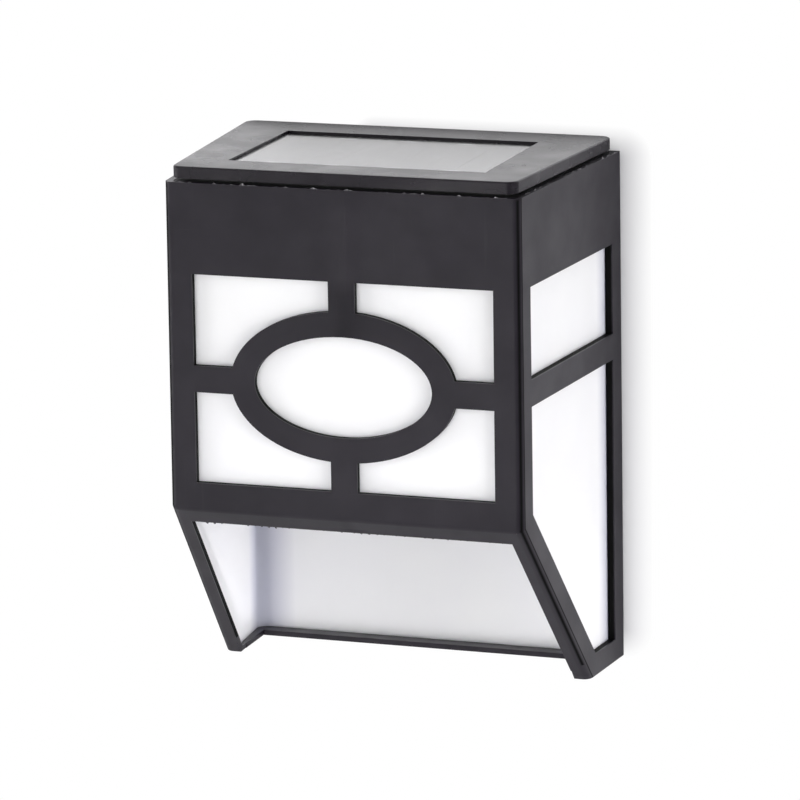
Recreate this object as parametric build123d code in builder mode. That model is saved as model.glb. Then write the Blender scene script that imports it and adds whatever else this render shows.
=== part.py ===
"""Solar fence light for a wall or a post.

A black moulded housing with oval tracery holds a white diffuser liner. A solar module closes
the top: cap, panel, tray, battery and light driver lift out of the housing as one piece.

Frame: X to the right, Y from the front to the wall, Z up. The origin is on the back face,
midway between the two keyholes. Heights are given above the bottom edge of the housing.
"""
from build123d import *
from math import atan2, cos, hypot
import os

os.makedirs("parts", exist_ok=True)

# ---------------------------------------------------------------------------------------------
# Driving dimensions, in millimetres
# ---------------------------------------------------------------------------------------------

# Housing: a box wider at the wall than in front, cut back below by a slanted open mouth
front_width = 100.0
back_width = 110.8
depth = 74.8
housing_height = 144.3
side_flare = 0.5  # each side leans out by this much from the rim to the foot
bend_height = 53.9  # where the upright front turns into the slanted mouth
foot_depth = 26.25  # how far the foot stands out from the wall
wall = 2.0
edge_radius = 2.2
foot_edge_radius = 0.4  # around the bottom

# Tracery of the front: one field of openings crossed by a cross and an oval ring
field_half_width = 42.6
field_low = 61.55
band_height = 24.95  # solid band above the windows, in front and at the sides
cross_bar = 7.3
cross_post = 7.45
oval_half_width = 25.2
oval_half_height = 13.9
ring_width = 6.8

# Side windows, one above and one below a cross bar that is level with the front's
side_window_front = 7.4  # from the front face
side_window_back = 6.4  # from the wall
side_window_low = 6.4  # from the bottom edge
slant_border = 7.64  # solid border along the slanted edge

# Mouth and foot
header_drop = 5.9  # solid band below the bend, along the slope
rail_width = 4.6  # rails beside the mouth, and lips beside the bottom opening
foot_thickness = 1.5
back_bar_depth = 7.7

# Keyholes in the back wall
keyhole_drop = 14.8  # of the round entries, below the rim
keyhole_spacing = 60.0
entry_radius = 4.25
slot_width = 4.4
slot_rise = 7.0
screw_head_room = 4.0  # free depth behind the back wall for a screw head

# White diffuser liner
liner_wall = 1.2
liner_clearance = 0.25
liner_corner_radius = 3.0
liner_notch_drop = 5.5  # its rear wall ends this far below the keyholes, for the screw heads
liner_notch_margin = 8.0  # solid corner left beside that notch

# Cap over the rim
cap_side_inset = 1.65
cap_front_inset = 1.4
cap_back_inset = 0.3
cap_lift = 0.85  # dark groove between the rim and the cap
cap_thickness = 3.25
cap_corner_radius = 3.2
cap_edge_radius = 0.5
cap_skin = 1.7
cap_border = 2.0
pan_wall = 1.5
pan_floor = 1.4

# Solar panel in the cap's recess
panel_width = 72.4
panel_depth = 46.5
panel_ahead = 0.5  # of the middle of the housing's depth
panel_clearance = 0.3
panel_sunk = 0.7  # below the top of the cap
backing_thickness = 1.0
resin_thickness = 0.9
cell_sheet = 0.25
cell_strips = 8
strip_gap = 0.8
panel_margin = 2.2  # bare border around the strips
sealant_thickness = 0.4
sealant_width = 2.5

# Tray that hangs from the cap
seat_gap = 0.3  # between the tray's flange and the top edge of the liner
flange_clearance = 0.35
flange_drop = 2.0  # its underside, below the cap
flange_thickness = 1.1
tray_lap = 0.5  # how far the tray's walls stand up inside the cap
tray_clearance = 0.55
tray_wall = 1.6
tray_floor = 2.2

# Battery, size AA
cell_radius = 7.25
cell_length = 50.5
nub_radius = 2.75
nub_length = 1.2
cell_bevel = 0.5
cell_float = 0.4  # free space around the cell in its bay
cell_above_floor = 0.3
cell_headroom = 0.85  # between the cell and the cap
bay_margin = 1.95  # tray floor left behind the door
bay_rib = 1.2
bay_rib_drop = 2.6  # the bay's ribs end this far below the top of the cell
contact_thickness = 0.4
contact_width = 9.0
contact_foot = 2.2  # lowest edge of a contact, above the tray's floor
contact_tab = 3.0
leaf_reach = 3.6  # space that the sprung contact fills at the negative end

# Battery door
door_lip = 2.0
door_thickness = 1.2
door_gap = 0.3
door_rim_height = 1.8
door_rim_wall = 1.0
grip_length = 12.0
grip_width = 1.2
grip_depth = 0.5
grip_pitch = 2.4
grip_count = 3

# Circuit board and what is on it
board_width = 48.0
board_depth = 24.0
board_thickness = 1.2
board_from_front = 26.8  # of the board's centre
post_radius = 2.5
post_pin_radius = 0.95
post_pin_play = 0.1
post_x = 21.0
post_behind = 8.5  # behind the board's centre, as all that follows
led_radius = 2.5
led_flange_step = 0.4
led_flange_height = 1.0
led_body_height = 8.6
led_hole_play = 0.15
led_x = 19.0
led_ahead = 3.5
led_leg = 0.5
led_leg_spread = 1.27
switch_width = 8.6
switch_depth = 4.4
switch_height = 3.6
switch_ahead = 7.0
knob_width = 3.0
knob_depth = 1.8
knob_out = 1.5  # how far the knob stands below the tray
knob_in = 1.2  # how far it reaches into the switch
knob_travel = 2.0
knob_clearance = 0.3
chip_width = 4.0
chip_depth = 1.5
chip_height = 3.0
chip_stand = 1.0
chip_x = 8.0
chip_ahead = 6.0
chip_leg = 0.4
chip_leg_pitch = 1.0
chip_legs = 4
coil_body_radius = 1.6
coil_body_length = 7.0
coil_wire_radius = 0.3
coil_lead_reach = 1.6
coil_x = -8.0
coil_ahead = 4.0
coil_stand = 0.4

# Screws that join the tray to the cap
screw_radius = 1.1
screw_length = 8.0
screw_head_radius = 2.1
screw_head_height = 1.6
screw_recess = 9.4  # depth of the head's recess, from below
screw_side_inset = 10.0
screw_front_inset = 9.5
screw_back_inset = 14.5
column_radius = 3.1
column_hole_play = 0.2
column_head_play = 0.3
column_bridge = 3.0  # solid plastic between the screw's head and the cap's boss
boss_radius = 2.5
thread_play = 0.02

# Leads
lead_radius = 0.6
lead_bend = 3.0
battery_pad_x = 15.0
battery_pad_behind = 9.5
panel_pad_x = 4.0
panel_pad_behind = 3.5
panel_hole_behind = 10.5
lead_hole_play = 0.5

# ---------------------------------------------------------------------------------------------
# Planes and outlines that the pieces share
# ---------------------------------------------------------------------------------------------
field_high = housing_height - band_height
cross_height = (field_low + field_high) / 2
cross_low = cross_height - cross_bar / 2
cross_high = cross_height + cross_bar / 2
keyhole_height = housing_height - keyhole_drop
floor_z = -keyhole_height
base = Plane.XY.offset(floor_z)
front_plane = Plane(origin=(0, -depth, floor_z), x_dir=(1, 0, 0), z_dir=(0, -1, 0))
side_plane = Plane(origin=(0, 0, floor_z), x_dir=(0, 1, 0), z_dir=(1, 0, 0))
back_plane = Plane(origin=(0, 0, 0), x_dir=(-1, 0, 0), z_dir=(0, 1, 0))

# The slanted face runs from the bend down to the foot, and its plane looks outwards
slant_run = depth - foot_depth
slant_length = hypot(slant_run, bend_height)
slant_normal = (0, -bend_height / slant_length, -slant_run / slant_length)
slant = Plane(origin=(0, -depth, floor_z + bend_height), x_dir=(1, 0, 0), z_dir=slant_normal)

# Each side leans a little, out towards the wall and out towards the foot
taper = (back_width - front_width) / 2
side_angle = atan2(taper, depth)
rim_z = floor_z + housing_height
right_normal = (depth * housing_height, -taper * housing_height, depth * side_flare)
left_normal = (-depth * housing_height, -taper * housing_height, depth * side_flare)
right_side = Plane(origin=(front_width / 2, -depth, rim_z), z_dir=right_normal)
left_side = Plane(origin=(-front_width / 2, -depth, rim_z), z_dir=left_normal)


def half_width(y, height):
    """Half the housing's width at a depth and at a height above its bottom edge."""
    share = (y + depth) / depth
    plan_width = front_width + (back_width - front_width) * share
    return plan_width / 2 + side_flare * (housing_height - height) / housing_height


def plan(height, side, front, back):
    """The housing's plan at a height, drawn in at the sides, at the front and at the back."""
    near = front - depth
    far = -back
    drawn_in = side / cos(side_angle)
    left_near = (drawn_in - half_width(near, height), near)
    right_near = (half_width(near, height) - drawn_in, near)
    right_far = (half_width(far, height) - drawn_in, far)
    left_far = (drawn_in - half_width(far, height), far)
    Polygon(left_near, right_near, right_far, left_far)


def profile(inset, low, high):
    """The housing's outline seen from the side, drawn in by a distance, between two heights."""
    near = inset - depth
    far = -inset
    bend = (near, slant_height(near, inset))
    toe = (slant_depth(low, inset), low)
    Polygon((near, high), bend, toe, (far, low), (far, high))


def slant_height(y, border):
    """Height of the line that keeps a border inside the slanted face, at a depth."""
    return (border * slant_length - (y + foot_depth) * bend_height) / slant_run


def slant_depth(height, border):
    """Depth of that same line at a height."""
    return (border * slant_length - height * slant_run) / bend_height - foot_depth


# ---------------------------------------------------------------------------------------------
# Housing: one black moulding, with tracery, side windows, slanted mouth and keyholes
# ---------------------------------------------------------------------------------------------
with BuildPart() as cavity:
    with BuildSketch(side_plane):
        profile(wall, foot_thickness, housing_height + wall)
    extrude(amount=back_width, both=True)
    split(bisect_by=right_side.offset(-wall), keep=Keep.BOTTOM)
    split(bisect_by=left_side.offset(-wall), keep=Keep.BOTTOM)

with BuildPart() as housing:
    with BuildSketch(side_plane):
        profile(0, 0, housing_height)
    extrude(amount=back_width, both=True)
    split(bisect_by=right_side, keep=Keep.BOTTOM)
    split(bisect_by=left_side, keep=Keep.BOTTOM)

    # Every outer edge is rounded, less around the bottom, except at the rim and against the wall
    rim_edges = housing.faces().sort_by(Axis.Z)[-1].edges()
    wall_edges = housing.faces().sort_by(Axis.Y)[-1].edges()
    foot_edges = housing.faces().sort_by(Axis.Z)[0].edges()
    fillet(housing.edges() - rim_edges - wall_edges - foot_edges, edge_radius)
    low_edges = housing.faces().sort_by(Axis.Z)[0].edges()
    fillet(low_edges - housing.faces().sort_by(Axis.Y)[-1].edges(), foot_edge_radius)
    add(cavity.part, mode=Mode.SUBTRACT)

    # Front field, with the cross and the oval ring left standing in it
    with BuildSketch(front_plane):
        with Locations((0, cross_height)):
            Rectangle(2 * field_half_width, field_high - field_low)
            Rectangle(2 * field_half_width, cross_bar, mode=Mode.SUBTRACT)
            Rectangle(cross_post, 2 * housing_height, mode=Mode.SUBTRACT)
            Ellipse(oval_half_width + ring_width, oval_half_height + ring_width, mode=Mode.SUBTRACT)
            Ellipse(oval_half_width, oval_half_height)
    extrude(amount=-2 * wall, mode=Mode.SUBTRACT)

    # Side windows, straight through both sides
    window_near = side_window_front - depth
    window_far = -side_window_back
    with BuildSketch(side_plane):
        Polygon(
            (window_near, cross_high),
            (window_far, cross_high),
            (window_far, field_high),
            (window_near, field_high),
        )
        Polygon(
            (window_near, cross_low),
            (window_near, slant_height(window_near, slant_border)),
            (slant_depth(side_window_low, slant_border), side_window_low),
            (window_far, side_window_low),
            (window_far, cross_low),
        )
    extrude(amount=back_width, both=True, mode=Mode.SUBTRACT)

    # Mouth in the slanted face, and the opening in the bottom that it runs into
    rail = rail_width / cos(side_angle)
    mouth_top = half_width(-depth, bend_height) - rail
    mouth_bottom = half_width(-foot_depth, 0) - rail
    spread = (mouth_bottom - mouth_top) / slant_length
    overrun = 2 * foot_thickness
    top_half = mouth_top + spread * header_drop
    bottom_half = mouth_bottom + spread * overrun
    with BuildSketch(slant):
        Polygon(
            (-top_half, -header_drop),
            (-bottom_half, -slant_length - overrun),
            (bottom_half, -slant_length - overrun),
            (top_half, -header_drop),
        )
    extrude(amount=-2 * wall, mode=Mode.SUBTRACT)
    with BuildSketch(base):
        Polygon(
            (-mouth_bottom, -foot_depth - overrun),
            (mouth_bottom, -foot_depth - overrun),
            (mouth_bottom, -back_bar_depth),
            (-mouth_bottom, -back_bar_depth),
        )
    extrude(amount=2 * foot_thickness, mode=Mode.SUBTRACT)

    # Keyholes: a round entry with a slot that rises from it
    with BuildSketch(back_plane):
        with GridLocations(keyhole_spacing, 0, 2, 1):
            Circle(entry_radius)
            with Locations((0, slot_rise / 2)):
                Rectangle(slot_width, slot_rise)
            with Locations((0, slot_rise)):
                Circle(slot_width / 2)
    extrude(amount=-2 * wall, mode=Mode.SUBTRACT)

housing.part.label = "housing"
export_step(housing.part, "parts/housing.step")

# ---------------------------------------------------------------------------------------------
# Diffuser liner: a thin white sleeve behind every window, open above, below and at the mouth
# ---------------------------------------------------------------------------------------------
cap_low = housing_height + cap_lift
flange_low = cap_low - flange_drop
liner_top = flange_low - seat_gap
liner_inset = wall + liner_clearance
chamber_inset = liner_inset + liner_wall

def upright(edge):
    """True for the edges that run up the liner's corners, and not for the slanted ones."""
    return abs((edge % 0).Z) > cos(side_angle)


with BuildPart() as chamber:
    with BuildSketch(side_plane):
        near = chamber_inset - depth
        Polygon((near, liner_top + wall), (near, 0), (-chamber_inset, 0), (-chamber_inset, liner_top + wall))
    extrude(amount=back_width, both=True)
    split(bisect_by=right_side.offset(-chamber_inset), keep=Keep.BOTTOM)
    split(bisect_by=left_side.offset(-chamber_inset), keep=Keep.BOTTOM)
    fillet(chamber.edges().filter_by(upright), liner_corner_radius)

with BuildPart() as diffuser_liner:
    with BuildSketch(side_plane):
        profile(liner_inset, foot_thickness, liner_top)
    extrude(amount=back_width, both=True)
    split(bisect_by=right_side.offset(-liner_inset), keep=Keep.BOTTOM)
    split(bisect_by=left_side.offset(-liner_inset), keep=Keep.BOTTOM)
    fillet(diffuser_liner.edges().filter_by(upright), liner_corner_radius + liner_wall)
    add(chamber.part, mode=Mode.SUBTRACT)
    notch_half = half_width(0, housing_height) - chamber_inset - liner_notch_margin
    with BuildSketch(back_plane):
        with Locations((0, -liner_notch_drop)):
            Rectangle(2 * notch_half, housing_height, align=(Align.CENTER, Align.MIN))
    extrude(amount=-chamber_inset - liner_wall, mode=Mode.SUBTRACT)

diffuser_liner.part.label = "diffuser_liner"
export_step(diffuser_liner.part, "parts/diffuser_liner.step")

# ---------------------------------------------------------------------------------------------
# Cap: a flat lid with a recess for the panel, hollow below, with four screw bosses
# ---------------------------------------------------------------------------------------------
cap_top = cap_low + cap_thickness
recess_width = panel_width + 2 * panel_clearance
recess_depth = panel_depth + 2 * panel_clearance
recess_floor = cap_top - panel_sunk - resin_thickness - backing_thickness - sealant_thickness
pan_low = recess_floor - pan_floor
panel_centre_y = -depth / 2 - panel_ahead

# The tray is as deep as the cell under the cap needs
tray_inset = chamber_inset + tray_clearance
tray_back_inset = wall + screw_head_room + tray_wall
cell_top = pan_low - cell_headroom
cell_height = cell_top - cell_radius
floor_top = cell_height - cell_radius - cell_above_floor
tray_bottom = floor_top - tray_floor
bay_rib_height = cell_top - bay_rib_drop - floor_top
bay_back = -tray_back_inset - bay_margin - door_gap - door_lip
cell_centre_y = bay_back - cell_float - cell_radius
bay_front = cell_centre_y - cell_radius - cell_float
board_centre_y = board_from_front - depth
panel_hole_y = board_centre_y + panel_hole_behind
column_top = tray_bottom + screw_recess + column_bridge
screw_front_y = screw_front_inset - depth
screw_places = []
for y in (screw_front_y, -screw_back_inset):
    reach = half_width(y, housing_height) - screw_side_inset
    screw_places += [(-reach, y), (reach, y)]

with BuildPart() as top_cap:
    with BuildSketch(base.offset(cap_low)):
        plan(housing_height, cap_side_inset, cap_front_inset, cap_back_inset)
        fillet(vertices(), cap_corner_radius)
    extrude(amount=cap_thickness)
    fillet(top_cap.faces().sort_by(Axis.Z)[-1].edges(), cap_edge_radius)
    with BuildSketch(base.offset(cap_low)):
        side = cap_side_inset + cap_border
        plan(housing_height, side, cap_front_inset + cap_border, cap_back_inset + cap_border)
        fillet(vertices(), cap_corner_radius - cap_border)
    extrude(amount=cap_thickness - cap_skin, mode=Mode.SUBTRACT)
    with BuildSketch(base.offset(pan_low)):
        with Locations((0, panel_centre_y)):
            Rectangle(recess_width + 2 * pan_wall, recess_depth + 2 * pan_wall)
    extrude(amount=cap_top - cap_skin - pan_low + cap_skin / 2)
    with BuildSketch(base.offset(recess_floor)):
        with Locations((0, panel_centre_y)):
            Rectangle(recess_width, recess_depth)
    extrude(amount=cap_top, mode=Mode.SUBTRACT)
    with BuildSketch(base.offset(column_top)):
        with Locations(*screw_places):
            Circle(boss_radius)
    extrude(amount=cap_top - cap_skin - column_top)
    with BuildSketch(base.offset(column_top)):
        with Locations(*screw_places):
            Circle(screw_radius + thread_play)
    extrude(amount=cap_top - 2 * cap_skin - column_top, mode=Mode.SUBTRACT)
    with BuildSketch(base.offset(pan_low)):
        with Locations((-panel_pad_x, panel_hole_y), (panel_pad_x, panel_hole_y)):
            Circle(lead_radius + lead_hole_play)
    extrude(amount=pan_floor, mode=Mode.SUBTRACT)

top_cap.part.label = "top_cap"
export_step(top_cap.part, "parts/top_cap.step")

# ---------------------------------------------------------------------------------------------
# Solar panel: sealant bead, backing board, cell strips and the clear resin over them
# ---------------------------------------------------------------------------------------------
backing_low = recess_floor + sealant_thickness
backing_top = backing_low + backing_thickness

with BuildPart() as panel_sealant:
    with BuildSketch(base.offset(recess_floor)):
        with Locations((0, panel_centre_y)):
            Rectangle(panel_width, panel_depth)
            Rectangle(panel_width - 2 * sealant_width, panel_depth - 2 * sealant_width, mode=Mode.SUBTRACT)
    extrude(amount=sealant_thickness)

panel_sealant.part.label = "panel_sealant"
export_step(panel_sealant.part, "parts/panel_sealant.step")

with BuildPart() as panel_backing:
    with BuildSketch(base.offset(backing_low)):
        with Locations((0, panel_centre_y)):
            Rectangle(panel_width, panel_depth)
    extrude(amount=backing_thickness)

panel_backing.part.label = "panel_backing"
export_step(panel_backing.part, "parts/panel_backing.step")

strip_pitch = (panel_width - 2 * panel_margin + strip_gap) / cell_strips
with BuildPart() as solar_cells:
    with BuildSketch(base.offset(backing_top)):
        with Locations((0, panel_centre_y)):
            with GridLocations(strip_pitch, 0, cell_strips, 1):
                Rectangle(strip_pitch - strip_gap, panel_depth - 2 * panel_margin)
    extrude(amount=cell_sheet)

solar_cells.part.label = "solar_cells"
export_step(solar_cells.part, "parts/solar_cells.step")

with BuildPart() as panel_resin:
    with BuildSketch(base.offset(backing_top)):
        with Locations((0, panel_centre_y)):
            Rectangle(panel_width, panel_depth)
    extrude(amount=resin_thickness)
    add(solar_cells.part, mode=Mode.SUBTRACT)

panel_resin.part.label = "panel_resin"
export_step(panel_resin.part, "parts/panel_resin.step")

# ---------------------------------------------------------------------------------------------
# Tray: hangs from the cap inside the liner, with a battery bay, screw columns and board posts
# ---------------------------------------------------------------------------------------------
board_low = floor_top + switch_height
board_top = board_low + board_thickness
bay_right = cell_length / 2 + contact_thickness
bay_left = -cell_length / 2 - leaf_reach - contact_thickness
bay_centre = ((bay_left + bay_right) / 2, cell_centre_y)
bay_length = bay_right - bay_left
bay_depth = bay_back - bay_front
door_length = bay_length + 2 * door_lip
door_depth = bay_depth + 2 * door_lip
led_y = board_centre_y - led_ahead
led_places = [(-led_x, led_y), (led_x, led_y)]
post_y = board_centre_y + post_behind
post_places = [(-post_x, post_y), (post_x, post_y)]
switch_y = board_centre_y - switch_ahead
knob_slot_length = knob_width + knob_travel + 2 * knob_clearance
knob_slot_width = knob_depth + 2 * knob_clearance

with BuildPart() as module_tray:
    with BuildSketch(base.offset(tray_bottom)):
        plan(housing_height, tray_inset, tray_inset, tray_back_inset)
        fillet(vertices(), liner_corner_radius)
    extrude(amount=cap_low + tray_lap - tray_bottom)
    flange_inset = wall + flange_clearance
    with BuildSketch(base.offset(flange_low)):
        plan(housing_height, flange_inset, flange_inset, flange_inset)
    extrude(amount=flange_thickness)
    with BuildSketch(base.offset(floor_top)):
        hollow_inset = tray_inset + tray_wall
        plan(housing_height, hollow_inset, hollow_inset, tray_back_inset + tray_wall)
        fillet(vertices(), liner_corner_radius - tray_wall)
    extrude(amount=cap_top - floor_top, mode=Mode.SUBTRACT)

    # Bay for the battery, open below and closed by the door
    with BuildSketch(base.offset(floor_top)):
        with Locations(bay_centre):
            Rectangle(bay_length + 2 * bay_rib, bay_depth + 2 * bay_rib)
    extrude(amount=bay_rib_height)
    with BuildSketch(base.offset(tray_bottom)):
        with Locations(bay_centre):
            Rectangle(bay_length, bay_depth)
    extrude(amount=tray_floor + bay_rib_height, mode=Mode.SUBTRACT)
    with BuildSketch(base.offset(tray_bottom)):
        with Locations(bay_centre):
            Rectangle(door_length + 2 * door_gap, door_depth + 2 * door_gap)
    extrude(amount=door_thickness, mode=Mode.SUBTRACT)

    # Screw columns at the corners, posts with pins for the board
    with BuildSketch(base.offset(tray_bottom)):
        with Locations(*screw_places):
            Circle(column_radius)
    extrude(amount=column_top - tray_bottom)
    with BuildSketch(base.offset(tray_bottom)):
        with Locations(*screw_places):
            Circle(screw_radius + column_hole_play)
    extrude(amount=column_top - tray_bottom, mode=Mode.SUBTRACT)
    with BuildSketch(base.offset(tray_bottom)):
        with Locations(*screw_places):
            Circle(screw_head_radius + column_head_play)
    extrude(amount=screw_recess, mode=Mode.SUBTRACT)
    with BuildSketch(base.offset(floor_top)):
        with Locations(*post_places):
            Circle(post_radius)
    extrude(amount=board_low - floor_top)
    with BuildSketch(base.offset(board_low)):
        with Locations(*post_places):
            Circle(post_pin_radius)
    extrude(amount=board_thickness + post_pin_radius)

    # Holes for the lamps, and a slot for the switch's knob
    with BuildSketch(base.offset(tray_bottom)):
        with Locations(*led_places):
            Circle(led_radius + led_hole_play)
        with Locations((0, switch_y)):
            Rectangle(knob_slot_length, knob_slot_width)
    extrude(amount=tray_floor, mode=Mode.SUBTRACT)

module_tray.part.label = "module_tray"
export_step(module_tray.part, "parts/module_tray.step")

with BuildPart() as cap_screws:
    with BuildSketch(base.offset(tray_bottom + screw_recess - screw_head_height)):
        with Locations(*screw_places):
            Circle(screw_head_radius)
    extrude(amount=screw_head_height)
    with BuildSketch(base.offset(tray_bottom + screw_recess)):
        with Locations(*screw_places):
            Circle(screw_radius)
    extrude(amount=screw_length)

cap_screws.part.label = "cap_screws"
export_step(cap_screws.part, "parts/cap_screws.step")

# ---------------------------------------------------------------------------------------------
# Battery and its two contacts
# ---------------------------------------------------------------------------------------------
cell_left = -cell_length / 2
shoulder = cell_length / 2 - nub_length

with BuildPart() as battery_cell:
    with BuildSketch(Plane(origin=(cell_left, cell_centre_y, floor_z + cell_height), z_dir=(1, 0, 0))):
        Circle(cell_radius)
    extrude(amount=shoulder - cell_left)
    chamfer(battery_cell.edges(), cell_bevel)
    with BuildSketch(Plane(origin=(shoulder, cell_centre_y, floor_z + cell_height), z_dir=(1, 0, 0))):
        Circle(nub_radius)
    extrude(amount=nub_length)

battery_cell.part.label = "battery_cell"
export_step(battery_cell.part, "parts/battery_cell.step")

contact_plane = Plane(origin=(0, cell_centre_y, floor_z), x_dir=(1, 0, 0), z_dir=(0, -1, 0))
contact_low = floor_top + contact_foot
tab_low = floor_top + bay_rib_height + contact_thickness
plate_x = bay_right - contact_thickness / 2
root_x = bay_left + contact_thickness / 2

with BuildPart() as contact_positive:
    with BuildSketch(contact_plane):
        with BuildLine():
            Polyline((plate_x, contact_low), (plate_x, tab_low), (plate_x + contact_tab, tab_low))
        trace(line_width=contact_thickness)
    extrude(amount=contact_width / 2, both=True)

contact_positive.part.label = "contact_positive"
export_step(contact_positive.part, "parts/contact_positive.step")

# The negative contact is one strip: tab, root, a turn at the foot, and a leaf bowed to the cell
leaf_x = cell_left - contact_thickness / 2
leaf_turn = leaf_reach / 4
with BuildPart() as contact_negative:
    with BuildSketch(contact_plane):
        with BuildLine():
            Line((root_x - contact_tab, tab_low), (root_x, tab_low))
            Line((root_x, tab_low), (root_x, contact_low + leaf_turn))
            foot = (root_x + 2 * leaf_turn, contact_low + leaf_turn)
            turn = (root_x + leaf_turn, contact_low)
            ThreePointArc((root_x, contact_low + leaf_turn), turn, foot)
            tip = (root_x + 2 * leaf_turn, 2 * cell_height - contact_low - leaf_turn)
            ThreePointArc(foot, (leaf_x, cell_height), tip)
        trace(line_width=contact_thickness)
    extrude(amount=contact_width / 2, both=True)

contact_negative.part.label = "contact_negative"
export_step(contact_negative.part, "parts/contact_negative.step")

# ---------------------------------------------------------------------------------------------
# Battery door: a plate flush with the tray's floor, with a locating rim and grip grooves
# ---------------------------------------------------------------------------------------------
with BuildPart() as battery_door:
    with BuildSketch(base.offset(tray_bottom)):
        with Locations(bay_centre):
            Rectangle(door_length, door_depth)
    extrude(amount=door_thickness - door_gap)
    with BuildSketch(base.offset(tray_bottom + door_thickness - door_gap)):
        with Locations(bay_centre):
            rim_length = bay_length - 2 * door_gap
            rim_depth = bay_depth - 2 * door_gap
            Rectangle(rim_length, rim_depth)
            Rectangle(rim_length - 2 * door_rim_wall, rim_depth - 2 * door_rim_wall, mode=Mode.SUBTRACT)
    extrude(amount=door_rim_height)
    with BuildSketch(base.offset(tray_bottom)):
        with Locations(bay_centre):
            with GridLocations(0, grip_pitch, 1, grip_count):
                SlotOverall(grip_length, grip_width)
    extrude(amount=grip_depth, mode=Mode.SUBTRACT)

battery_door.part.label = "battery_door"
export_step(battery_door.part, "parts/battery_door.step")

# ---------------------------------------------------------------------------------------------
# Circuit board, lamps, switch, driver chip and coil
# ---------------------------------------------------------------------------------------------
with BuildPart() as circuit_board:
    with BuildSketch(base.offset(board_low)):
        with Locations((0, board_centre_y)):
            Rectangle(board_width, board_depth)
        with Locations(*post_places):
            Circle(post_pin_radius + post_pin_play, mode=Mode.SUBTRACT)
    extrude(amount=board_thickness)

circuit_board.part.label = "circuit_board"
export_step(circuit_board.part, "parts/circuit_board.step")

# Each lamp is a round-nosed body, nose down, with a flange on the tray's floor and two legs
led_top = floor_top + led_flange_height
led_flange_radius = led_radius + led_flange_step
led_nose = led_top - led_body_height
for name, (x, y) in zip(("led_left", "led_right"), led_places):
    with BuildPart() as led:
        with BuildSketch(Plane(origin=(x, y, floor_z), x_dir=(1, 0, 0), z_dir=(0, -1, 0))):
            with BuildLine():
                Polyline(
                    (0, led_nose),
                    (0, led_top),
                    (led_flange_radius, led_top),
                    (led_flange_radius, floor_top),
                    (led_radius, floor_top),
                    (led_radius, led_nose + led_radius),
                )
                RadiusArc((led_radius, led_nose + led_radius), (0, led_nose), led_radius)
            make_face()
        revolve(axis=Axis((x, y, 0), (0, 0, 1)))
        with BuildSketch(base.offset(led_top)):
            with Locations((x - led_leg_spread, y), (x + led_leg_spread, y)):
                Rectangle(led_leg, led_leg)
        extrude(amount=board_low - led_top)
    led.part.label = name
    export_step(led.part, "parts/" + name + ".step")

with BuildPart() as switch_body:
    with BuildSketch(base.offset(floor_top)):
        with Locations((0, switch_y)):
            Rectangle(switch_width, switch_depth)
    extrude(amount=switch_height)
    with BuildSketch(base.offset(floor_top)):
        with Locations((0, switch_y)):
            Rectangle(knob_slot_length, knob_slot_width)
    extrude(amount=knob_in + knob_clearance, mode=Mode.SUBTRACT)

switch_body.part.label = "switch_body"
export_step(switch_body.part, "parts/switch_body.step")

with BuildPart() as switch_knob:
    with BuildSketch(base.offset(tray_bottom - knob_out)):
        with Locations((-knob_travel / 2, switch_y)):
            Rectangle(knob_width, knob_depth)
    extrude(amount=knob_out + tray_floor + knob_in)
    chamfer(switch_knob.faces().sort_by(Axis.Z)[0].edges(), knob_clearance)

switch_knob.part.label = "switch_knob"
export_step(switch_knob.part, "parts/switch_knob.step")

chip_y = board_centre_y - chip_ahead
coil_y = board_centre_y - coil_ahead
with BuildPart() as driver_chip:
    with BuildSketch(base.offset(board_top + chip_stand)):
        with Locations((chip_x, chip_y)):
            Rectangle(chip_width, chip_depth)
    extrude(amount=chip_height)
    with BuildSketch(base.offset(board_top)):
        with Locations((chip_x, chip_y)):
            with GridLocations(chip_leg_pitch, 0, chip_legs, 1):
                Rectangle(chip_leg, chip_leg)
    extrude(amount=chip_stand)

driver_chip.part.label = "driver_chip"
export_step(driver_chip.part, "parts/driver_chip.step")

# The coil lies along X on the board, and its two leads bend down to it
coil_height = board_top + coil_stand + coil_body_radius
with BuildPart() as inductor_coil:
    with BuildSketch(Plane(origin=(coil_x, coil_y, floor_z + coil_height), z_dir=(1, 0, 0))):
        Circle(coil_body_radius)
    extrude(amount=coil_body_length / 2, both=True)
    chamfer(inductor_coil.edges(), coil_body_radius / 4)
    coil_end = coil_body_length / 2
    lead_end = coil_end + coil_lead_reach
    for direction in (-1, 1):
        with BuildLine() as route:
            FilletPolyline(
                (coil_x + direction * (coil_end - coil_wire_radius), coil_y, floor_z + coil_height),
                (coil_x + direction * lead_end, coil_y, floor_z + coil_height),
                (coil_x + direction * lead_end, coil_y, floor_z + board_top),
                radius=2 * coil_wire_radius,
            )
        with BuildSketch(Plane(origin=route.line @ 0, z_dir=route.line % 0)):
            Circle(coil_wire_radius)
        sweep(path=route.line)

inductor_coil.part.label = "inductor_coil"
export_step(inductor_coil.part, "parts/inductor_coil.step")

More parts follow.
